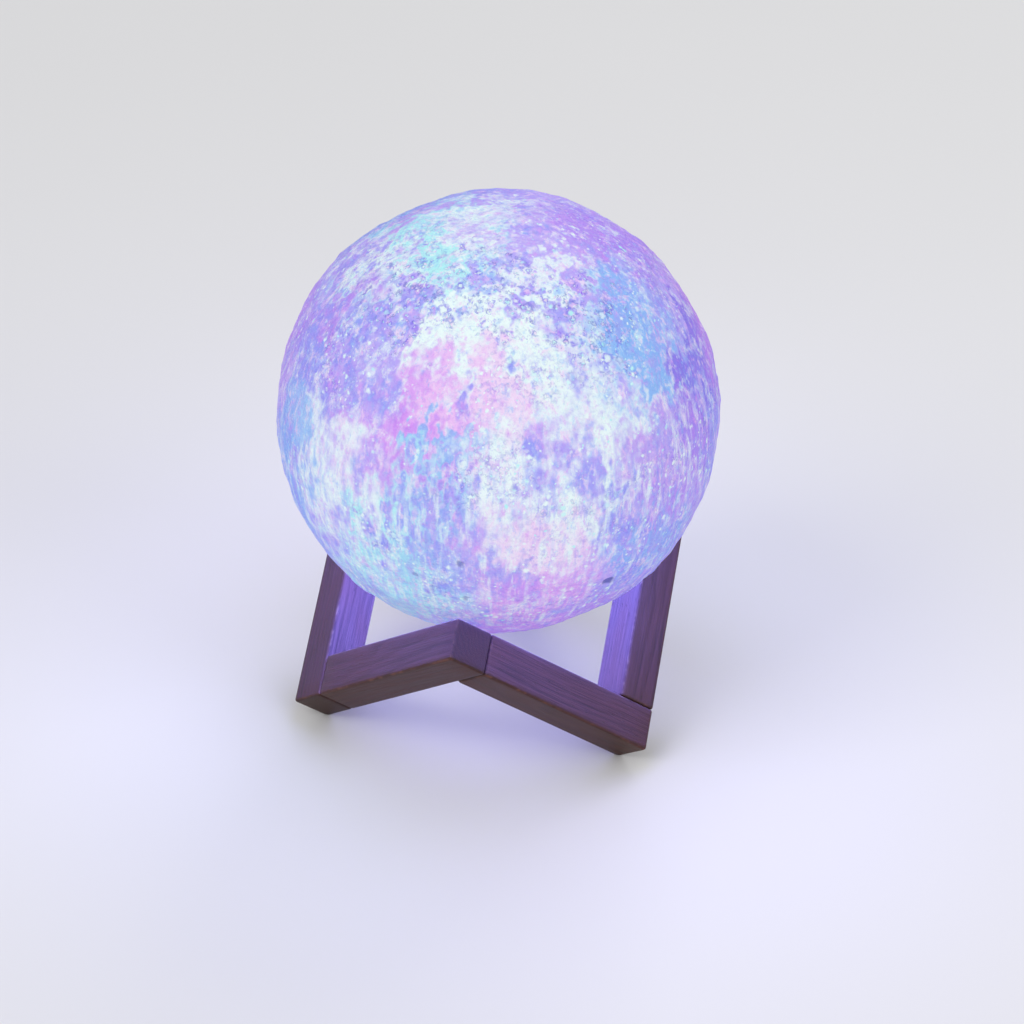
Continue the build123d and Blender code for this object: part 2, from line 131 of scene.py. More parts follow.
class Graph:
    """The nodes of one material, with short calls to add and wire them."""

    def __init__(self, name: str) -> None:
        """Start a material with a principled shader.

        Args:
            name: The material's name.
        """
        self.material = bpy.data.materials.new(name)
        self.material.use_nodes = True
        self.tree = self.material.node_tree
        self.tree.nodes.clear()
        output = self.tree.nodes.new("ShaderNodeOutputMaterial")
        self.shader = self.tree.nodes.new("ShaderNodeBsdfPrincipled")
        self.tree.links.new(self.shader.outputs["BSDF"], output.inputs["Surface"])

    def feed(self, socket: Socket, value: Value) -> None:
        """Wire a socket to another one, or set its number or colour.

        Args:
            socket: The socket that is fed.
            value: What it is fed with.
        """
        if isinstance(value, Socket):
            self.tree.links.new(value, socket)
        else:
            socket.default_value = value.shade() if isinstance(value, Hue) else value

    def add(self, kind: str, inputs: dict, **settings: object) -> bpy.types.Node:
        """Add a node.

        Args:
            kind: The node's type, without its ShaderNode prefix.
            inputs: Values or sockets for its inputs, by name or number.
            settings: The node's own settings.

        Returns:
            The new node.
        """
        node = self.tree.nodes.new("ShaderNode" + kind)
        for name, value in settings.items():
            setattr(node, name, value)
        for name, value in inputs.items():
            self.feed(node.inputs[name], value)
        return node

    def set(self, **values: Value) -> None:
        """Set or wire the shader's sockets, named with underscores for spaces."""
        for name, value in values.items():
            self.feed(self.shader.inputs[name.replace("_", " ")], value)

    def place(self) -> Socket:
        """The surface point in the lamp's own frame."""
        return self.add("TexCoord", {}).outputs["Object"]

    def place_in_millimetres(self) -> Socket:
        """The surface point in the lamp's own frame, in millimetres."""
        point = self.vector("SCALE", self.place())
        point.node.inputs["Scale"].default_value = 1.0 / MM
        return point

    def strayed(self, point: Value, push: Value, x: float, y: float, z: float) -> Socket:
        """Carry a point sideways by a noise's colour.

        Args:
            point: The point.
            push: The noise's colour, whose middle grey carries nothing.
            x: How far the noise's full range reaches along X.
            y: The same along Y.
            z: The same along Z.

        Returns:
            The carried point.
        """
        centred = self.vector("SUBTRACT", push, (0.5, 0.5, 0.5))
        return self.vector("ADD", point, self.scaled(centred, x, y, z))

    def calc(self, operation: str, *values: Value) -> Socket:
        """One sum on numbers, such as ADD or MULTIPLY."""
        inputs = dict(enumerate(values))
        return self.add("Math", inputs, operation=operation).outputs[0]

    def times(self, first: Value, second: Value) -> Socket:
        """The product of two numbers."""
        return self.calc("MULTIPLY", first, second)

    def vector(self, operation: str, *values: Value) -> Socket:
        """One sum on vectors."""
        inputs = dict(enumerate(values))
        node = self.add("VectorMath", inputs, operation=operation)
        gives_number = operation in ("DOT_PRODUCT", "LENGTH", "DISTANCE")
        return node.outputs["Value" if gives_number else "Vector"]

    def scaled(self, vector: Value, x: float, y: float, z: float) -> Socket:
        """A vector with each of its parts made longer or shorter."""
        return self.vector("MULTIPLY", vector, (x, y, z))

    def soft(self, value: Value, low: float, high: float,
             start: float = 0.0, end: float = 1.0) -> Socket:
        """Rise smoothly from start to end while the value goes from low to high."""
        inputs = {"Value": value, "From Min": low, "From Max": high, "To Min": start, "To Max": end}
        node = self.add("MapRange", inputs, interpolation_type="SMOOTHSTEP")
        return node.outputs["Result"]

    def mix(self, share: Value, first: Value, second: Value, blend: str = "MIX") -> Socket:
        """Blend two colours.

        Args:
            share: How much of the second colour, from 0 to 1.
            first: The colour at 0.
            second: The colour at 1.
            blend: How they are blended.

        Returns:
            The blended colour.
        """
        node = self.add("Mix", {}, data_type="RGBA", blend_type=blend, clamp_factor=True)
        self.feed(node.inputs[0], share)
        self.feed(node.inputs[6], first)
        self.feed(node.inputs[7], second)
        return node.outputs[2]

    def clouds(self, vector: Value, scale: float, detail: float = 3.0,
               roughness: float = 0.5, distortion: float = 0.0) -> bpy.types.Node:
        """Soft noise, with outputs Fac and Color."""
        inputs = {"Vector": vector, "Scale": scale, "Detail": detail,
                  "Roughness": roughness, "Distortion": distortion}
        return self.add("TexNoise", inputs)

    def haze(self, vector: Value, scale: float, *settings: float) -> Socket:
        """The same soft noise as a number from 0 to 1."""
        return self.clouds(vector, scale, *settings).outputs["Fac"]

    def cells(self, vector: Value, scale: float, jitter: float = 1.0) -> bpy.types.Node:
        """Scattered cells, with outputs Distance and Color."""
        inputs = {"Vector": vector, "Scale": scale, "Randomness": jitter}
        return self.add("TexVoronoi", inputs)

    def bump(self, height: Value, depth: float, normal: Value = None) -> Socket:
        """Small relief.

        Args:
            height: The relief, from 0 to 1.
            depth: Its depth in metres.
            normal: Relief that lies under this one.

        Returns:
            The bent normal.
        """
        node = self.add("Bump", {"Height": height, "Distance": depth, "Strength": 1.0})
        if normal is not None:
            self.feed(node.inputs["Normal"], normal)
        return node.outputs["Normal"]


@dataclass(frozen=True)
class StainedWood:
    """Open-grained hardwood with a dark reddish-brown stain and a thin satin lacquer."""

    name: str
    to_lamp: Matrix
    length: float
    section: float
    seed: float
    light: tuple = (0.325, 0.178, 0.152)
    dark: tuple = (0.180, 0.090, 0.083)
    reddish: tuple = (0.30, 0.135, 0.10)
    open_pore: tuple = (0.085, 0.045, 0.040)
    worn_edge: tuple = (0.52, 0.33, 0.25)
    end_stain: tuple = (0.13, 0.07, 0.06)
    dark_fleck: tuple = (0.07, 0.04, 0.04)
    ring_spacing: float = 1.7
    ring_wander: float = 14.0
    pith: tuple = (21.0, -13.0)
    wear_width: float = 1.0
    grain_depth: float = 0.10 * MM
    gloss: tuple = (0.40, 0.60)

    def make(self) -> bpy.types.Material:
        """Build the wood of one bar, with its grain along the bar.

        Returns:
            The material.
        """
        g = Graph(self.name)
        turn = self.to_lamp.to_euler("XYZ")
        inputs = {"Vector": g.place(), "Location": self.to_lamp.to_translation(),
                  "Rotation": turn, "Scale": (MM, MM, MM)}
        along = g.add("Mapping", inputs, vector_type="TEXTURE").outputs["Vector"]
        shifted = g.vector("ADD", along, (self.seed * 3.7, self.seed * 1.9, self.seed * 31.0))
        ring = self.rings(g, along, shifted)
        fibre = g.haze(g.scaled(shifted, 1.9, 1.9, 0.05), 1.0, 5.0, 0.62)
        fine = g.haze(g.scaled(shifted, 6.5, 6.5, 0.22), 1.0, 3.0, 0.6)
        pore_cell = g.cells(g.scaled(shifted, 1.5, 1.5, 0.17), 1.0).outputs["Distance"]
        pore = g.times(g.soft(pore_cell, 0.20, 0.10), g.soft(fibre, 0.42, 0.60))
        tone = g.calc("MULTIPLY_ADD", fibre, 1.15, g.times(ring, -0.16))
        tone = g.calc("MULTIPLY_ADD", fine, 0.45, tone)
        colour = g.mix(g.soft(tone, 0.30, 1.15), linear(self.dark), linear(self.light))
        patch = g.haze(g.scaled(shifted, 0.09, 0.09, 0.03), 1.0, 2.0)
        colour = g.mix(g.soft(patch, 0.35, 0.70, 0.0, 0.35), colour, linear(self.reddish))
        colour = g.mix(g.times(pore, 0.75), colour, linear(self.open_pore))
        colour = self.handled(g, colour, along, shifted)
        uneven = g.calc("MULTIPLY_ADD", fine, 0.5, fibre)
        relief = g.calc("SUBTRACT", uneven, g.times(pore, 0.9))
        g.set(Base_Color=colour, Roughness=g.soft(uneven, 0.5, 1.1, *self.gloss))
        g.set(Normal=g.bump(relief, self.grain_depth), IOR=1.5, Specular_IOR_Level=0.28)
        g.set(Coat_Weight=0.08, Coat_Roughness=0.30)
        return g.material

    def rings(self, g: Graph, along: Socket, shifted: Socket) -> Socket:
        """Year rings round a pith that lies outside the bar.

        Args:
            g: The material's nodes.
            along: The surface point in the bar's own frame, in millimetres.
            shifted: The same point, moved on by the bar's seed.

        Returns:
            The rings, from 0 to 1.
        """
        sway = g.haze(g.scaled(shifted, 0.05, 0.05, 0.012), 1.0, 2.0)
        from_pith = g.vector("SUBTRACT", along, (self.pith[0], self.pith[1], 0.0))
        flat = g.vector("LENGTH", g.scaled(from_pith, 1.0, 1.0, 0.0))
        wander = g.calc("MULTIPLY_ADD", sway, self.ring_wander, flat)
        phase = g.calc("FRACT", g.calc("DIVIDE", wander, self.ring_spacing))
        return g.times(g.soft(phase, 0.15, 0.92), g.soft(phase, 1.0, 0.93))

    def handled(self, g: Graph, colour: Socket, along: Socket, shifted: Socket) -> Socket:
        """Rub the edges lighter, darken the end grain and strew a few dark flecks.

        Args:
            g: The material's nodes.
            colour: The colour so far.
            along: The surface point in the bar's own frame, in millimetres.
            shifted: The same point, moved on by the bar's seed.

        Returns:
            The colour.
        """
        parts = g.add("SeparateXYZ", {0: g.vector("ABSOLUTE", along)})
        half = self.section / 2
        from_side = g.calc("SUBTRACT", half, parts.outputs["X"])
        from_face = g.calc("SUBTRACT", half, parts.outputs["Y"])
        run = g.add("SeparateXYZ", {0: along}).outputs["Z"]
        from_end = g.calc("MINIMUM", run, g.calc("SUBTRACT", self.length, run))
        nearest = g.calc("MINIMUM", g.calc("MINIMUM", from_side, from_face), from_end)
        farthest = g.calc("MAXIMUM", g.calc("MAXIMUM", from_side, from_face), from_end)
        total = g.calc("ADD", g.calc("ADD", from_side, from_face), from_end)
        to_edge = g.calc("SUBTRACT", g.calc("SUBTRACT", total, nearest), farthest)
        rub = g.haze(shifted, 0.24, 4.0, 0.6)
        near_edge = g.soft(to_edge, self.wear_width, self.wear_width * 0.25)
        wear = g.times(near_edge, g.soft(rub, 0.47, 0.66))
        colour = g.mix(g.times(wear, 0.40), colour, linear(self.worn_edge))
        end_grain = g.soft(from_end, 0.55, 0.25)
        colour = g.mix(g.times(end_grain, 0.42), colour, linear(self.end_stain))
        fleck = g.soft(g.cells(shifted, 0.31).outputs["Distance"], 0.075, 0.045)
        return g.mix(g.times(fleck, 0.6), colour, linear(self.dark_fleck))


@dataclass(frozen=True)
class Cloud:
    """One soft patch of colour on the globe."""

    azimuth: float
    elevation: float
    reach: float
    hue: Hue
    strength: float = 0.8


@dataclass(frozen=True)
class NebulaPrint:
    """Lit printed shell: drifting patches of colour, upright streaks, grains with painted shade and painted
    highlights, sparkles, and pits with painted shade.
    """

    centre: float
    pits: tuple
    glow: float = 0.585
    body: float = 0.40
    gloss: tuple = (0.50, 0.34)
    velvet: tuple = (0.56, 0.46, 1.0)
    # painted shade for the bottoms of the pits
    pit_shade_colour: tuple = (0.24, 0.29, 0.62)
    ground_depth: float = 0.9 * MM
    pebble_depth: float = 0.16 * MM
    drifts: tuple = ((2.3, 0.30, 2.0), (7.0, 0.24, 2.0), (26.0, 0.15, 1.0))
    # scale, and strength of the painted shade round each grain
    pebbles: tuple = ((17.0, 0.52), (29.0, 0.60), (47.0, 0.50))
    dots: tuple = ((15.0, 0.25, 0.44), (25.0, 0.30, 0.56), (42.0, 0.30, 0.60))
    rough_zones: tuple = (
        (-116, 56, 15), (-88, 61, 14), (-48, 50, 14), (60, 30, 20), (150, 45, 22), (100, -10, 14),
    )
    clouds: tuple = (
        Cloud(-175, 60, 24, Hue.LAVENDER, 0.70),
        Cloud(-118, 57, 13, Hue.SKY, 0.80),
        Cloud(-82, 62, 14, Hue.AQUA, 0.60),
        Cloud(-95, 68, 14, Hue.PERIWINKLE, 0.60),
        Cloud(-138, 44, 15, Hue.AQUA, 0.90),
        Cloud(-145, 60, 16, Hue.AQUA_WHITE, 0.90),
        Cloud(-149, 76, 16, Hue.AQUA, 0.90),
        Cloud(48, 86, 14, Hue.AQUA_WHITE, 0.85),
        Cloud(-47, 53, 18, Hue.PERIWINKLE, 0.75),
        Cloud(-15, 68, 22, Hue.LAVENDER, 0.85),
        Cloud(20, 54, 26, Hue.VIOLET, 0.75),
        Cloud(-128, 32, 20, Hue.LAVENDER, 0.85),
        Cloud(-143, 26, 15, Hue.VIOLET, 0.75),
        Cloud(-140, 12, 13, Hue.PERIWINKLE, 0.90),
        Cloud(-164, 24, 14, Hue.PERIWINKLE, 0.75),
        Cloud(-98, 40, 14, Hue.AQUA_WHITE, 1.00),
        Cloud(-76, 42, 15, Hue.AQUA_WHITE, 1.00),
        Cloud(-62, 58, 11, Hue.AQUA_WHITE, 0.85),
        Cloud(-58, 34, 20, Hue.AQUA_WHITE, 0.90),
        Cloud(-22, 40, 19, Hue.SKY, 0.95),
        Cloud(8, 38, 17, Hue.LAVENDER, 0.75),
        Cloud(2, 22, 15, Hue.DEEP_VIOLET, 0.75),
        Cloud(-104, 15, 18, Hue.ORCHID, 0.85),
        Cloud(-80, 20, 15, Hue.PALE_PINK, 0.75),
        Cloud(-91, 7, 8, Hue.SKY, 0.85),
        Cloud(-125, -6, 19, Hue.AQUA_WHITE, 0.90),
        Cloud(-154, -2, 14, Hue.SKY, 0.80),
        Cloud(-101, -6, 15, Hue.AQUA, 0.85),
        Cloud(-96, -4, 9, Hue.PERIWINKLE, 0.80),
        Cloud(-66, 4, 19, Hue.AQUA_WHITE, 0.95),
        Cloud(-47, 7, 12, Hue.AQUA_WHITE, 0.80),
        Cloud(-28, 2, 16, Hue.VIOLET, 0.75),
        Cloud(-40, -20, 14, Hue.SKY, 0.80),
        Cloud(-72, -20, 20, Hue.PALE_PINK, 0.75),
        Cloud(-94, -18, 14, Hue.PERIWINKLE, 0.75),
        Cloud(-116, -34, 22, Hue.AQUA, 0.75),
        Cloud(-60, -42, 22, Hue.ORCHID, 0.60),
        Cloud(40, 12, 32, Hue.ORCHID, 0.70),
        Cloud(62, -18, 30, Hue.AQUA, 0.80),
        Cloud(88, 34, 30, Hue.AQUA_WHITE, 0.85),
        Cloud(112, -4, 26, Hue.VIOLET, 0.70),
        Cloud(136, 40, 26, Hue.SKY, 0.80),
        Cloud(150, -26, 28, Hue.PALE_PINK, 0.80),
        Cloud(176, 8, 28, Hue.ORCHID, 0.65),
        Cloud(-165, -18, 24, Hue.SKY, 0.75),
        Cloud(20, -44, 32, Hue.PERIWINKLE, 0.70),
        Cloud(120, -55, 32, Hue.LAVENDER, 0.75),
    )

    def make(self) -> bpy.types.Material:
        """Build the shell's material.

        Returns:
            The material.
        """
        g = Graph("lit_printed_shell")
        place = g.vector("SUBTRACT", g.place(), (0.0, 0.0, self.centre))
        way = g.vector("NORMALIZE", place)
        drift = self.drifted(g, way)
        colour = self.patches(g, drift)
        colour = self.wisps(g, colour, way)
        colour = self.streaks(g, colour, way)
        colour, grain = self.grains(g, colour, way)
        colour = self.sparkles(g, colour, way)
        colour = self.shade_pits(g, colour, way)
        body = g.mix(1.0, colour, (self.body, self.body, self.body, 1.0), "MULTIPLY")
        rough = g.soft(grain, 0.0, 1.0, *self.gloss)
        g.set(Base_Color=body, Roughness=rough, Emission_Color=colour, Emission_Strength=self.glow)
        g.set(Normal=self.relief(g, grain, way), IOR=1.45)
        g.set(Sheen_Weight=0.70, Sheen_Roughness=0.35, Sheen_Tint=linear(self.velvet))
        return g.material

    def drifted(self, g: Graph, way: Socket) -> Socket:
        """Carry the surface point sideways by soft noise, so that patches get ragged outlines.

        Args:
            g: The material's nodes.
            way: Direction from the globe's centre to the surface point.

        Returns:
            The carried point.
        """
        moved = way
        tall = g.scaled(way, 1.0, 1.0, 0.6)
        for scale, reach, detail in self.drifts:
            push = g.clouds(tall, scale, detail, 0.6).outputs["Color"]
            moved = g.strayed(moved, push, reach, reach, reach * 1.4)
        return moved

    def patches(self, g: Graph, drift: Socket) -> Socket:
        """Lay the patches of colour on a lavender ground.

        Args:
            g: The material's nodes.
            drift: The carried surface point.

        Returns:
            The colour.
        """
        ground = g.haze(drift, 3.2, 3.0)
        colour = g.mix(g.soft(ground, 0.36, 0.64), Hue.LAVENDER, Hue.PERIWINKLE)
        for cloud in self.clouds:
            facing = g.vector("DOT_PRODUCT", drift, heading(cloud.azimuth, cloud.elevation))
            far = math.cos(math.radians(cloud.reach * 1.35))
            near = math.cos(math.radians(cloud.reach * 0.35))
            share = g.soft(facing, far, near, 0.0, cloud.strength)
            colour = g.mix(share, colour, cloud.hue)
        return colour

    def wisps(self, g: Graph, colour: Socket, way: Socket) -> Socket:
        """Break the patches up with ragged lighter and deeper wisps.

        Args:
            g: The material's nodes.
            colour: The colour so far.
            way: Direction to the surface point.

        Returns:
            The colour.
        """
        tall = g.scaled(way, 1.0, 1.0, 0.55)
        wide = g.clouds(tall, 8.0, 4.0, 0.65, 0.3)
        tight = g.clouds(tall, 27.0, 4.0, 0.68, 0.3)
        pick = g.add("SeparateColor", {0: tight.outputs["Color"]})
        light = g.calc("ADD", wide.outputs["Fac"], tight.outputs["Fac"])
        other = g.calc("MULTIPLY_ADD", pick.outputs[0], 1.4, g.times(wide.outputs["Fac"], -0.4))
        third = pick.outputs[2]
        colour = g.mix(g.soft(light, 0.98, 1.30, 0.0, 0.70), colour, Hue.AQUA_WHITE)
        colour = g.mix(g.soft(light, 0.98, 0.72, 0.0, 0.32), colour, Hue.VIOLET)
        colour = g.mix(g.soft(other, 0.54, 0.76, 0.0, 0.55), colour, Hue.PALE_PINK)
        colour = g.mix(g.soft(third, 0.46, 0.28, 0.0, 0.50), colour, Hue.SKY)
        return g.mix(g.soft(third, 0.54, 0.72, 0.0, 0.50), colour, Hue.ORCHID)

    def streaks(self, g: Graph, colour: Socket, way: Socket) -> Socket:
        """Draw short upright streaks on the lower half, as the print's runs of colour.

        Args:
            g: The material's nodes.
            colour: The colour so far.
            way: Direction to the surface point.

        Returns:
            The colour.
        """
        flat = g.vector("NORMALIZE", g.scaled(way, 1.0, 1.0, 0.0))
        height = g.add("SeparateXYZ", {0: way}).outputs["Z"]
        sway = g.haze(way, 3.4, 2.0)
        lift = g.add("CombineXYZ", {"Z": g.times(height, 0.20)}).outputs[0]
        course = g.vector("ADD", flat, lift)
        run = g.clouds(course, 25.0, 3.0, 0.6)
        pick = g.add("SeparateColor", {0: run.outputs["Color"]})
        zone = g.times(g.soft(height, 0.55, 0.10), g.soft(sway, 0.38, 0.58, 0.20, 1.0))
        zone = g.times(zone, g.soft(height, -0.86, -0.62))
        light = g.times(g.soft(run.outputs["Fac"], 0.50, 0.68), zone)
        deep = g.times(g.soft(pick.outputs[0], 0.48, 0.34), zone)
        pink = g.times(g.soft(pick.outputs[2], 0.52, 0.66), zone)
        colour = g.mix(g.times(deep, 0.50), colour, Hue.PERIWINKLE)
        colour = g.mix(g.times(pink, 0.50), colour, Hue.LAVENDER)
        return g.mix(g.times(light, 0.66), colour, Hue.AQUA_WHITE)

    def grains(self, g: Graph, colour: Socket, way: Socket) -> tuple:
        """Strew grains with painted shade in a broken dark ring round each and painted highlights in pale
        print tints at their hearts, thick in the rough zones and thin elsewhere.

        Args:
            g: The material's nodes.
            colour: The colour so far.
            way: Direction to the surface point.

        Returns:
            The colour, and the grains' own pattern from 0 to 1.
        """
        zone = self.rough_share(g, way)
        bend = g.clouds(way, 60.0, 2.0).outputs["Color"]
        bent = g.vector("ADD", way, g.scaled(bend, 0.030, 0.030, 0.030))
        grain = 0.0
        for scale, rim_shade_strength in self.pebbles:
            apart = g.vector("ADD", bent, (scale, 0.0, 0.0))
            cell = g.cells(apart, scale)
            chosen = g.add("SeparateColor", {0: cell.outputs["Color"]})
            size = g.calc("MULTIPLY_ADD", chosen.outputs[0], 0.20, 0.17)
            shape = g.calc("DIVIDE", cell.outputs["Distance"], size)
            broken = g.soft(g.haze(apart, scale * 1.3, 1.0), 0.42, 0.58)
            # painted shade: a broken dark ring round each raised grain
            ring = g.times(g.soft(shape, 0.60, 1.0), g.soft(shape, 1.75, 1.15))
            rim = g.times(g.times(ring, broken), zone)
            shade_pick = g.soft(chosen.outputs[2], 0.45, 0.55)
            deep = g.mix(shade_pick, Hue.GRAIN_SHADE, Hue.DEEP_VIOLET)
            colour = g.mix(g.times(rim, rim_shade_strength), colour, deep)
            # painted highlight: each grain's heart is lightened towards a pale print tint; the same mask
            # gives the grains' relief
            heart = g.times(g.soft(shape, 1.0, 0.45), zone)
            pink = g.soft(chosen.outputs[1], 0.40, 0.45)
            pale = g.mix(pink, Hue.AQUA_WHITE, Hue.PALE_PINK)
            highlight_tint = g.mix(g.soft(chosen.outputs[1], 0.70, 0.75), pale, Hue.AQUA)
            colour = g.mix(g.times(heart, 0.64), colour, highlight_tint)
            grain = g.calc("MAXIMUM", heart, grain)
        return colour, grain

    def rough_share(self, g: Graph, way: Socket) -> Socket:
        """How thickly the grains lie: fully in the rough zones, and in faint drifts elsewhere.

        Args:
            g: The material's nodes.
            way: Direction to the surface point.

        Returns:
            The share, from 0 to 1.
        """
        share = g.soft(g.haze(way, 3.1, 2.0), 0.50, 0.66, 0.16, 0.55)
        loose = g.strayed(way, g.clouds(way, 11.0, 2.0).outputs["Color"], 0.2, 0.2, 0.2)
        for azimuth, elevation, reach in self.rough_zones:
            facing = g.vector("DOT_PRODUCT", loose, heading(azimuth, elevation))
            rim = math.cos(math.radians(reach * 1.3))
            share = g.calc("MAXIMUM", share, g.soft(facing, rim, 1.0, 0.0, 1.3))
        return g.calc("MINIMUM", share, 1.0)

    def sparkles(self, g: Graph, colour: Socket, way: Socket) -> Socket:
        """Scatter small bright dots, a few of them large.

        Args:
            g: The material's nodes.
            colour: The colour so far.
            way: Direction to the surface point.

        Returns:
            The colour.
        """
        ragged = g.clouds(way, 90.0, 1.0).outputs["Color"]
        loose = g.vector("ADD", way, g.scaled(ragged, 0.012, 0.012, 0.018))
        crowd = g.soft(g.haze(way, 2.9, 3.0, 0.6), 0.44, 0.58, 0.22, 0.95)
        for scale, reach, few in self.dots:
            cell = g.cells(g.vector("ADD", loose, (0.0, scale, 0.0)), scale)
            chosen = g.add("SeparateColor", {0: cell.outputs["Color"]})
            small = g.soft(cell.outputs["Distance"], reach, reach * 0.35)
            dot = g.times(small, g.soft(chosen.outputs[0], few, few + 0.1))
            tint = g.soft(chosen.outputs[1], 0.45, 1.1)
            bright = g.mix(tint, Hue.AQUA_WHITE, Hue.AQUA)
            colour = g.mix(g.times(dot, crowd), colour, bright)
        return colour

    def shade_pits(self, g: Graph, colour: Socket, way: Socket) -> Socket:
        """Darken the bottoms of the small pits in the shell with painted shade.

        Args:
            g: The material's nodes.
            colour: The colour so far.
            way: Direction to the surface point.

        Returns:
            The colour.
        """
        loose = g.strayed(way, g.clouds(way, 30.0, 2.0).outputs["Color"], 0.03, 0.03, 0.03)
        for azimuth, elevation, reach in self.pits:
            apart = g.vector("DISTANCE", loose, heading(azimuth, elevation))
            edge = math.radians(reach)
            # painted shade: each pit's bottom is darkened towards this colour
            share = g.soft(apart, edge, edge * 0.45, 0.0, min(0.80, 0.36 * reach))
            colour = g.mix(share, colour, linear(self.pit_shade_colour))
        return colour

    def relief(self, g: Graph, grain: Socket, way: Socket) -> Socket:
        """Fine printed relief: grains over a rough ground.

        Args:
            g: The material's nodes.
            grain: The grains' pattern.
            way: Direction to the surface point.

        Returns:
            The bent normal.
        """
        rough = g.haze(way, 42.0, 4.0, 0.65)
        return g.bump(grain, self.pebble_depth, g.bump(rough, self.ground_depth))


@dataclass(frozen=True)
class Plastic:
    """Moulded plastic with a fine eroded grain."""

    name: str
    colour: tuple
    roughness: float = 0.45
    grain: float = 2.2
    mottle: float = 0.06
    transmission: float = 0.0
    glow: float = 0.0

    def make(self) -> bpy.types.Material:
        """Build the plastic.

        Returns:
            The material.
        """
        g = Graph(self.name)
        point = g.place_in_millimetres()
        fine = g.haze(point, self.grain, 4.0, 0.6)
        wide = g.haze(point, 0.08, 3.0)
        deeper = tuple(c * (1.0 - 2.0 * self.mottle) for c in self.colour)
        tone = g.calc("MULTIPLY_ADD", fine, 0.5, g.times(wide, 0.5))
        colour = g.mix(g.soft(tone, 0.38, 0.62), linear(deeper), linear(self.colour))
        gloss = g.soft(fine, 0.35, 0.65, self.roughness - 0.06, self.roughness + 0.08)
        g.set(Base_Color=colour, Roughness=gloss, Normal=g.bump(fine, 0.03 * MM), IOR=1.49)
        g.set(Transmission_Weight=self.transmission)
        if self.glow > 0.0:
            g.set(Emission_Color=colour, Emission_Strength=self.glow)
        return g.material


@dataclass(frozen=True)
class Metal:
    """Plated metal with fine turning marks."""

    name: str
    colour: tuple
    roughness: float = 0.28

    def make(self) -> bpy.types.Material:
        """Build the metal.

        Returns:
            The material.
        """
        g = Graph(self.name)
        point = g.place_in_millimetres()
        marks = g.haze(g.scaled(point, 0.7, 0.7, 9.0), 1.0, 4.0, 0.6)
        stain = g.haze(point, 0.5, 3.0)
        deeper = tuple(c * 0.72 for c in self.colour)
        colour = g.mix(g.soft(stain, 0.35, 0.65), linear(deeper), linear(self.colour))
        gloss = g.soft(marks, 0.35, 0.65, self.roughness - 0.08, self.roughness + 0.10)
        g.set(Base_Color=colour, Metallic=1.0, Roughness=gloss, Normal=g.bump(marks, 0.02 * MM))
        return g.material


@dataclass(frozen=True)
class CircuitBoard:
    """Board with a lacquer over its copper tracks."""

    name: str
    lacquer: tuple
    track: tuple
    via_gold: tuple = (0.80, 0.74, 0.52)

    def make(self) -> bpy.types.Material:
        """Build the board's finish.

        Returns:
            The material.
        """
        g = Graph(self.name)
        point = g.place_in_millimetres()
        inputs = {"Vector": point, "Scale": 0.42, "Mortar Size": 0.055, "Brick Width": 1.3,
                  "Row Height": 0.55, "Color1": (0, 0, 0, 1), "Color2": (0, 0, 0, 1), "Mortar": (1, 1, 1, 1)}
        tracks = g.add("TexBrick", inputs).outputs["Color"]
        vias = g.soft(g.cells(point, 0.55, 0.8).outputs["Distance"], 0.16, 0.11)
        weave = g.haze(point, 3.0, 2.0)
        deeper = tuple(c * 0.86 for c in self.lacquer)
        ground = g.mix(g.soft(weave, 0.35, 0.65), linear(self.lacquer), linear(deeper))
        colour = g.mix(tracks, ground, linear(self.track))
        colour = g.mix(vias, colour, linear(self.via_gold))
        g.set(Base_Color=colour, Roughness=g.soft(weave, 0.3, 0.7, 0.26, 0.38))
        g.set(Normal=g.bump(tracks, 0.04 * MM), IOR=1.5)
        return g.material


class Piece:
    """One mesh that is being made, kept in place in the lamp's own frame."""

    def __init__(self, name: str) -> None:
        """Start an empty mesh."""
        self.name = name
        self.mesh = bmesh.new()

    def finish(self, material: bpy.types.Material, body: str, slot: str, *nodes: str) -> bpy.types.Object:
        """Turn the mesh into an object, dress it and let it ride on a body.

        Args:
            material: The finish.
            body: The body that it moves with.
            slot: The record's slot for the finish; not used.
            nodes: The solids that it stands for.

        Returns:
            The new object.
        """
        data = bpy.data.meshes.new(self.name)
        self.mesh.to_mesh(data)
        self.mesh.free()
        data.materials.append(material)
        data.shade_smooth()
        piece = put(self.name, data)
        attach(piece, body)
        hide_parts(*nodes)
        log.info("%s: %d faces, on %s", self.name, len(data.polygons), body)
        return piece


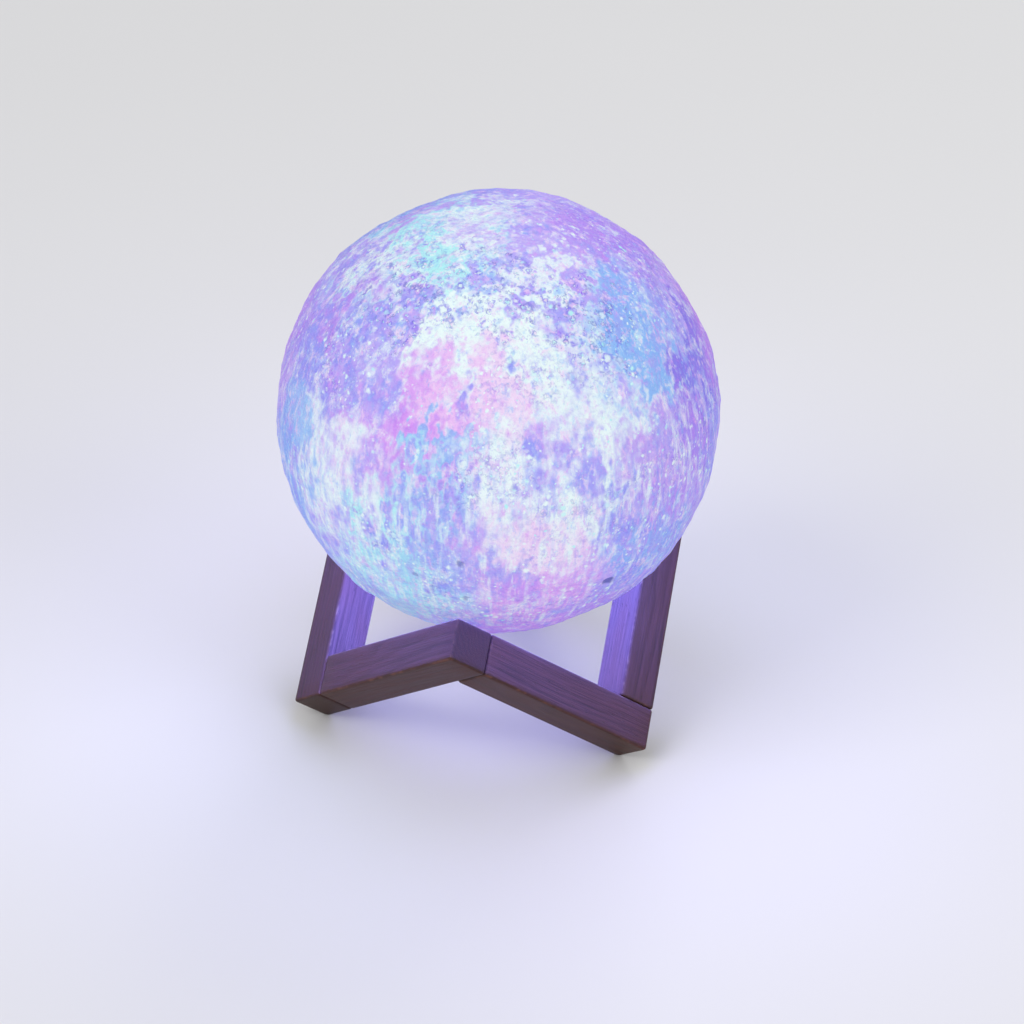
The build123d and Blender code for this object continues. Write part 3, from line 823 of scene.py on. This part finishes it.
@dataclass
class Cradle:
    """Six equal square bars along the zigzag outline of a cube stood on one corner."""

    section: float = 15.0 * MM
    length: float = 73.5 * MM
    foot_flat: float = 1.5 * MM
    edge_round: float = 1.0 * MM
    edge_steps: int = 4
    sanding: float = 0.05 * MM
    grid: int = 9
    corners: dict = field(default_factory=lambda: {
        "left_bar": ((1, 0, 0), 3, 2),
        "front_left_bar": ((1, 1, 0), -2, -1),
        "front_right_bar": ((0, 1, 0), 1, 3),
        "right_bar": ((0, 1, 1), -3, -2),
        "back_right_bar": ((0, 0, 1), 2, 1),
        "back_left_bar": ((1, 0, 1), -1, -3),
    })

    def cube_edge(self, number: int) -> Vector:
        """Direction of the cube's edge 1, 2 or 3, or its opposite where the number is negative."""
        sign = 1.0 if number > 0 else -1.0
        turn = math.radians({1: 120.0, 2: -120.0, 3: 0.0}[abs(number)])
        flat = math.sqrt(2.0 / 3.0)
        rise = math.sqrt(1.0 / 3.0)
        return Vector((-flat * math.sin(turn), flat * math.cos(turn), rise)) * sign

    def bar_place(self, corner: tuple, along: int, towards: int) -> Matrix:
        """Place of a bar, whose own Z runs along it from the middle of its passing end.

        Args:
            corner: The cube's corner that the bar passes.
            along: The edge that it runs along.
            towards: The edge that the next bar takes from the corner.

        Returns:
            The matrix from the bar's own frame to the lamp's.
        """
        half = self.section / 2
        middle = [self.length + half if bit else half for bit in corner]
        start = Vector((0.0, 0.0, -self.length / math.sqrt(3.0) - self.foot_flat))
        for number, distance in enumerate(middle, 1):
            start += self.cube_edge(number) * distance
        z = self.cube_edge(along)
        x = self.cube_edge(towards)
        y = z.cross(x)
        place = Matrix((x, y, z)).transposed().to_4x4()
        place.translation = start - z * half
        return place

    def bar(self, name: str, place: Matrix, seed: float) -> bpy.types.Object:
        """Make one bar: a squared stick with eased edges, sanded by hand, and flat where it stands.

        Args:
            name: The bar's name.
            place: Its place in the lamp.
            seed: Shifts its grain and its unevenness.

        Returns:
            The bar's object.
        """
        piece = Piece(name + "_wood")
        mesh = piece.mesh
        shape = Matrix.Translation((0.0, 0.0, self.length / 2)) @ Matrix.Diagonal(
            (self.section, self.section, self.length, 1.0))
        bmesh.ops.create_cube(mesh, size=1.0, matrix=shape)
        bmesh.ops.bevel(mesh, geom=mesh.edges[:], offset=self.edge_round, segments=self.edge_steps,
                        profile=0.5, affect="EDGES", material=-1)
        long_edges = [e for e in mesh.edges if e.calc_length() > self.section * 0.5]
        bmesh.ops.subdivide_edges(mesh, edges=long_edges, cuts=self.grid, use_grid_fill=True)
        for vert in mesh.verts:
            waver = noise.noise(vert.co * 45.0 + Vector((seed * 7.0, 0.0, 0.0)))
            inward = Vector((vert.co.x, vert.co.y, 0.0)).normalized()
            vert.co -= inward * self.sanding * (0.5 + 0.5 * waver)
        bmesh.ops.transform(mesh, matrix=place, verts=mesh.verts[:])
        cut = bmesh.ops.bisect_plane(mesh, geom=mesh.verts[:] + mesh.edges[:] + mesh.faces[:],
                                     plane_co=(0.0, 0.0, 0.0), plane_no=(0.0, 0.0, -1.0), clear_outer=True)
        rim = [e for e in cut["geom_cut"] if isinstance(e, bmesh.types.BMEdge)]
        if rim:
            bmesh.ops.edgeloop_fill(mesh, edges=rim)
        wood = StainedWood(name + "_stain", place, self.length / MM, self.section / MM, seed)
        return piece.finish(wood.make(), "stand", "stained_wood", name)

    def build(self) -> list:
        """Make all six bars and give them back."""
        return [self.bar(name, self.bar_place(corner, along, towards), count + 1.0)
                for count, (name, (corner, along, towards)) in enumerate(self.corners.items())]


@dataclass
class Globe:
    """The printed shell, with lumps, shallow craters and its round bottom opening."""

    radius: float = 75.0 * MM
    wall: float = 1.6 * MM
    opening_radius: float = 25.0 * MM
    centre: float = 0.0
    outer_fineness: int = 7
    inner_fineness: int = 6
    lumps: tuple = (
        (2.1, 0.80 * MM), (4.3, 0.60 * MM), (8.4, 0.44 * MM), (16.0, 0.38 * MM), (29.0, 0.24 * MM),
    )
    lump_start: tuple = (4.5, 8.4, 1.0)
    shrinkage: float = 0.08 * MM
    deepest_hollow: float = 1.2 * MM
    margin: float = 0.05 * MM
    craters: tuple = (
        (-46, -24, 2.2, 0.70 * MM), (-88, -13, 1.5, 0.45 * MM), (-101, -20, 1.2, 0.45 * MM),
        (-87, -26, 1.2, 0.45 * MM), (112, -22, 1.8, 0.50 * MM), (74, 24, 1.3, 0.45 * MM),
        (172, -30, 1.4, 0.45 * MM), (8, -18, 1.5, 0.45 * MM),
        (-72, 2, 3.2, 0.30 * MM), (-57, 20, 3.6, 0.30 * MM),
        (-118, 30, 3.0, 0.28 * MM), (-35, 50, 3.4, 0.30 * MM), (-150, 40, 3.8, 0.30 * MM),
        (10, 10, 3.2, 0.35 * MM), (35, 40, 4.2, 0.35 * MM), (70, 0, 3.6, 0.40 * MM),
        (95, 50, 3.2, 0.30 * MM), (130, 10, 4.0, 0.40 * MM), (165, -20, 3.4, 0.35 * MM),
        (-170, 25, 2.8, 0.30 * MM), (120, -38, 3.0, 0.35 * MM), (50, -30, 3.4, 0.35 * MM),
        (-10, 75, 3.0, 0.25 * MM), (-160, -40, 2.6, 0.35 * MM),
    )
    largest_pit: float = 2.3
    brim_share: float = 0.28
    brim_reach: float = 1.7
    seats: tuple = ((-90.0, -38.0), (30.0, -38.0), (150.0, -38.0))
    seat_reach: float = 7.0
    opening_reach: float = 7.0

    def height(self, way: Vector) -> float:
        """Relief of the shell in one direction, in metres, as the print's lumps and craters.

        Args:
            way: The direction from the globe's centre.

        Returns:
            The height above the mean surface.
        """
        rise = 0.0
        for count, (scale, depth) in enumerate(self.lumps, 1):
            rise += depth * noise.noise(way * scale + Vector(self.lump_start) * count)
        for azimuth, elevation, reach, depth in self.craters:
            apart = way.angle(heading(azimuth, elevation)) / math.radians(reach)
            if apart < self.brim_reach:
                bowl = -depth * max(0.0, 1.0 - apart * apart)
                brim = self.brim_share * depth * math.exp(-((apart - 1.08) / 0.22) ** 2)
                rise += bowl + brim
        if rise < 0.0:
            rise = self.deepest_hollow * math.tanh(rise / self.deepest_hollow)
        return rise

    def calm(self, way: Vector) -> float:
        """How much of the relief is kept: none at the opening's edge and at the three seats.

        Args:
            way: The direction from the globe's centre.

        Returns:
            The share, from 0 to 1.
        """
        opening = math.asin(self.opening_radius / self.radius)
        from_opening = way.angle(Vector((0.0, 0.0, -1.0))) - opening
        keep = min(1.0, max(0.0, from_opening / math.radians(self.opening_reach)))
        for azimuth, elevation in self.seats:
            apart = way.angle(heading(azimuth, elevation)) / math.radians(self.seat_reach)
            keep = min(keep, max(0.0, min(1.0, apart - 0.4)))
        return keep * keep * (3.0 - 2.0 * keep)

    def wall_surface(self, mesh: bmesh.types.BMesh, radius: float, fineness: int, inside: bool) -> list:
        """Add one wall of the shell, open at the bottom.

        Args:
            mesh: The mesh that it is added to.
            radius: The wall's radius.
            fineness: How often the starting solid is divided.
            inside: Whether the wall faces the globe's inside.

        Returns:
            The edges round the opening.
        """
        made = bmesh.ops.create_icosphere(mesh, subdivisions=fineness, radius=radius)
        faces = list({f for v in made["verts"] for f in v.link_faces})
        if inside:
            bmesh.ops.reverse_faces(mesh, faces=faces)
        edges = list({e for v in made["verts"] for e in v.link_edges})
        level = -math.sqrt(radius ** 2 - self.opening_radius ** 2)
        cut = bmesh.ops.bisect_plane(mesh, geom=made["verts"] + edges + faces,
                                     plane_co=(0.0, 0.0, level), plane_no=(0.0, 0.0, -1.0),
                                     clear_outer=True, dist=0.01 * MM)
        rim = [e for e in cut["geom_cut"] if isinstance(e, bmesh.types.BMEdge)]
        for vert in {v for e in rim for v in e.verts}:
            flat = Vector((vert.co.x, vert.co.y, 0.0)).normalized() * self.opening_radius
            vert.co = flat + Vector((0.0, 0.0, level))
        return rim

    def build(self) -> bpy.types.Object:
        """Make the shell.

        Returns:
            The shell's object.
        """
        piece = Piece("printed_shell")
        mesh = piece.mesh
        outer_rim = self.wall_surface(mesh, self.radius, self.outer_fineness, False)
        outer_verts = mesh.verts[:]
        rim_verts = {v for e in outer_rim for v in e.verts}
        for vert in outer_verts:
            if vert not in rim_verts:
                way = vert.co.normalized()
                rise = (self.height(way) - self.shrinkage) * self.calm(way)
                widest = (self.radius - self.margin) / max(abs(way.x), abs(way.y), abs(way.z))
                vert.co = way * min(self.radius + rise, widest)
        inner_rim = self.wall_surface(mesh, self.radius - self.wall, self.inner_fineness, True)
        bmesh.ops.bridge_loops(mesh, edges=outer_rim + inner_rim)
        bmesh.ops.translate(mesh, vec=(0.0, 0.0, self.centre), verts=mesh.verts[:])
        pits = tuple(crater[:3] for crater in self.craters if crater[2] <= self.largest_pit)
        finish = NebulaPrint(self.centre, pits)
        return piece.finish(finish.make(), "globe", "printed_shell", "shade")


@dataclass
class PushButton:
    """The dark button in the base, with a soft edge and a shallow dish for the fingertip."""

    face_radius: float = 6.0 * MM
    edge_round: float = 0.9 * MM
    dish_depth: float = 0.35 * MM
    dish_radius: float = 4.3 * MM
    flange_radius: float = 7.2 * MM
    flange_height: float = 1.2 * MM
    stem_radius: float = 2.0 * MM
    stem_height: float = 0.5 * MM
    profile_steps: int = 8
    turn_steps: int = 96

    def outline(self, low: float, high: float) -> list:
        """Half outline of the button, from the middle of its face to the top of its stem.

        Args:
            low: Height of the face.
            high: Height of the stem's end.

        Returns:
            Points in the XZ plane.
        """
        points = []
        for step in range(self.profile_steps + 1):
            share = step / self.profile_steps
            dip = self.dish_depth * (1.0 - share * share) ** 2
            points.append((share * self.dish_radius, low + dip))
        for step in range(1, self.profile_steps + 1):
            turn = math.radians(90.0 * step / self.profile_steps)
            side = self.face_radius - self.edge_round * (1.0 - math.sin(turn))
            points.append((side, low + self.edge_round * (1.0 - math.cos(turn))))
        flange_top = high - self.stem_height
        points += [(self.face_radius, flange_top - self.flange_height),
                   (self.flange_radius, flange_top - self.flange_height),
                   (self.flange_radius, flange_top), (self.stem_radius, flange_top),
                   (self.stem_radius, high), (0.0, high)]
        return points

    def build(self) -> bpy.types.Object:
        """Make the button.

        Returns:
            The button's object.
        """
        low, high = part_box("button")
        axis = ((low.x + high.x) / 2, (low.y + high.y) / 2, 0.0)
        piece = Piece("push_button")
        mesh = piece.mesh
        verts = [mesh.verts.new((axis[0] + x, axis[1], z)) for x, z in self.outline(low.z, high.z)]
        edges = [mesh.edges.new(pair) for pair in zip(verts, verts[1:])]
        bmesh.ops.spin(mesh, geom=verts + edges, cent=axis, axis=(0.0, 0.0, 1.0),
                       angle=math.tau, steps=self.turn_steps, use_merge=True)
        bmesh.ops.remove_doubles(mesh, verts=mesh.verts[:], dist=0.002 * MM)
        bmesh.ops.recalc_face_normals(mesh, faces=mesh.faces[:])
        finish = Plastic("button_rubber", (0.13, 0.12, 0.15), 0.55, 3.2, 0.12)
        return piece.finish(finish.make(), "button", "dark_button", "button")


@dataclass
class CarriedSolids:
    """The solids that keep their shape, each with the finish of its own material."""

    finishes: dict = field(default_factory=lambda: {
        "joint_dowels": Plastic("beech_dowel", (0.78, 0.62, 0.44), 0.6, 1.2, 0.10),
        "mount_ring": Plastic("white_ring", (0.86, 0.86, 0.85), 0.48, 2.2, 0.02),
        "base_cap": Plastic("white_cap", (0.88, 0.88, 0.87), 0.46, 2.2, 0.015),
        "cap_screws": Metal("cap_screw_steel", (0.66, 0.66, 0.68)),
        "switch_plunger": Plastic("plunger_black", (0.10, 0.10, 0.11), 0.5),
        "tact_switch": Plastic("switch_black", (0.14, 0.14, 0.15), 0.45),
        "charge_socket": Metal("socket_steel", (0.78, 0.78, 0.80), 0.22),
        "socket_tongue": Plastic("tongue_black", (0.09, 0.09, 0.10), 0.5),
        "light_pipe": Plastic("clear_pipe", (0.92, 0.95, 0.97), 0.12, 2.2, 0.02, 0.85),
        "indicator_led": Plastic("indicator_resin", (0.95, 0.90, 0.72), 0.3, 2.2, 0.05, 0.0, 0.2),
        "main_board": CircuitBoard("green_board", (0.07, 0.33, 0.17), (0.10, 0.44, 0.24)),
        "board_screws": Metal("board_screw_steel", (0.60, 0.60, 0.62)),
        "control_chips": Plastic("chip_resin", (0.10, 0.10, 0.11), 0.6),
        "remote_receiver": Plastic("receiver_resin", (0.09, 0.06, 0.10), 0.18),
        "battery_plug": Plastic("plug_white", (0.84, 0.83, 0.78), 0.45),
        "battery_leads": Plastic("battery_lead_cover", (0.72, 0.08, 0.07), 0.4),
        "battery": Plastic("battery_foil", (0.72, 0.74, 0.77), 0.3, 0.6, 0.08),
        "battery_tape": Plastic("foam_tape", (0.20, 0.20, 0.21), 0.85, 1.6, 0.2),
        "light_housing": Plastic("white_housing", (0.87, 0.87, 0.86), 0.46),
        "housing_screws": Metal("housing_screw_steel", (0.62, 0.62, 0.64)),
        "led_plug": Plastic("led_plug_white", (0.84, 0.83, 0.78), 0.45),
        "led_leads": Plastic("led_lead_cover", (0.86, 0.86, 0.84), 0.4),
        "led_board": CircuitBoard("white_board", (0.86, 0.87, 0.86), (0.74, 0.76, 0.74)),
        "leds": Plastic("led_resin", (0.93, 0.90, 0.70), 0.25, 2.2, 0.05, 0.0, 0.5),
        "led_board_screws": Metal("led_screw_steel", (0.60, 0.60, 0.62)),
        "diffuser": Plastic("milky_dome", (0.93, 0.93, 0.95), 0.5, 2.2, 0.03, 0.25, 0.25),
    })

    def dress(self, nodes: dict) -> None:
        """Give every solid its finish.

        Args:
            nodes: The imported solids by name.
        """
        for name, finish in self.finishes.items():
            slots = nodes[name].data.materials
            slots.clear()
            slots.append(finish.make())
            log.info("%s: dressed in %s", name, finish.name)


@dataclass
class Studio:
    """Plain pale floor, plain soft light, and the camera at the photograph's angle."""

    lens: float = 108.7
    camera_place: tuple = (0.1643, -0.9040, 0.6214)
    yaw: float = -9.928
    pitch: float = 30.836
    roll: float = -2.175
    film_width: float = 36.0
    aim: tuple = (0.0, 0.0, 0.08)
    room_light: float = 0.56
    floor_half: float = 5.0
    floor_drop: float = 0.2 * MM
    floor_colour: tuple = (0.88, 0.88, 0.885)
    wood_glow: tuple = ((0.068, 0.165, 1.0), 40.0)
    floor_glow: tuple = ((0.45, 0.45, 1.0), 1.3)
    lamps: tuple = (
        ((-1.55, -1.70, 2.25), 1.6, 34.0),
        ((2.20, -1.00, 1.60), 1.6, 17.0),
        ((0.45, 2.15, 2.00), 1.4, 15.0),
    )

    def floor(self) -> bpy.types.Object:
        """Lay the floor."""
        piece = bmesh.new()
        bmesh.ops.create_grid(piece, x_segments=1, y_segments=1, size=self.floor_half)
        bmesh.ops.translate(piece, vec=(0.0, 0.0, -self.floor_drop), verts=piece.verts[:])
        data = bpy.data.meshes.new("studio_floor")
        piece.to_mesh(data)
        piece.free()
        floor = put("studio_floor", data)
        g = Graph("pale_floor")
        drift = g.haze(g.place(), 3.0, 2.0)
        near = tuple(c * 0.985 for c in self.floor_colour)
        g.set(Base_Color=g.mix(drift, linear(near), linear(self.floor_colour)), Roughness=0.55)
        data.materials.append(g.material)
        return floor

    def lights(self) -> None:
        """Hang the soft lamps and set the pale surroundings."""
        world = bpy.data.worlds.new("pale_room")
        world.use_nodes = True
        back = world.node_tree.nodes["Background"]
        back.inputs["Color"].default_value = (1.0, 1.0, 1.0, 1.0)
        back.inputs["Strength"].default_value = self.room_light
        bpy.context.scene.world = world
        for count, (place, size, power) in enumerate(self.lamps):
            lamp = bpy.data.lights.new(f"soft_lamp_{count}", "AREA")
            lamp.size = size
            lamp.energy = power
            holder = put(lamp.name, lamp)
            holder.location = place
            towards = Vector(self.aim) - Vector(place)
            holder.rotation_euler = towards.to_track_quat("-Z", "Y").to_euler()

    def glow(self, centre: Vector, radius: float, bars: list, floor: bpy.types.Object) -> None:
        """Let the globe's own light fall on the wood and the floor, more faintly on the floor.

        Args:
            centre: The globe's centre.
            radius: The globe's radius.
            bars: The cradle's bars.
            floor: The floor.
        """
        shades = bpy.data.collections.new("shades_globe_light")
        for piece in bars + [floor]:
            shades.objects.link(piece)
        for name, near, (tint, power) in (("wood_glow", bars, self.wood_glow),
                                          ("floor_glow", [floor], self.floor_glow)):
            lit = bpy.data.collections.new(name)
            for piece in near:
                lit.objects.link(piece)
            light = bpy.data.lights.new(name, "POINT")
            light.color = tint
            light.energy = power
            light.shadow_soft_size = radius * 0.97
            holder = put(name, light)
            holder.location = centre
            holder.visible_camera = False
            holder.visible_glossy = False
            holder.light_linking.receiver_collection = lit
            holder.light_linking.blocker_collection = shades
            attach(holder, "globe")

    def camera(self) -> None:
        """Set up the camera."""
        yaw, pitch, roll = (math.radians(a) for a in (self.yaw, self.pitch, self.roll))
        ahead = Vector((math.sin(yaw) * math.cos(pitch), math.cos(yaw) * math.cos(pitch), -math.sin(pitch)))
        level = Vector((math.cos(yaw), -math.sin(yaw), 0.0))
        down = ahead.cross(level)
        side = level * math.cos(roll) + down * math.sin(roll)
        under = down * math.cos(roll) - level * math.sin(roll)
        data = bpy.data.cameras.new("photo_camera")
        data.lens = self.lens
        data.sensor_width = self.film_width
        data.sensor_fit = "HORIZONTAL"
        camera = put("photo_camera", data)
        place = Matrix((side, -under, -ahead)).transposed().to_4x4()
        place.translation = self.camera_place
        camera.matrix_world = place
        bpy.context.scene.camera = camera

    def build(self) -> bpy.types.Object:
        """Set up floor, lights, camera and plain colours, and give back the floor."""
        self.lights()
        self.camera()
        bpy.context.scene.view_settings.view_transform = "Standard"
        return self.floor()


def main() -> None:
    """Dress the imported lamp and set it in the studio."""
    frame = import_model()
    studio = Studio()
    floor = studio.build()
    bars = Cradle().build()
    low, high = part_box("shade")
    centre = high.z - Globe.radius
    Globe(centre=centre).build()
    studio.glow(Vector((0.0, 0.0, centre)), Globe.radius, bars, floor)
    PushButton().build()
    CarriedSolids().dress(frame["nodes"])


if __name__ == "__main__":
    logging.basicConfig(level=logging.INFO)
    main()
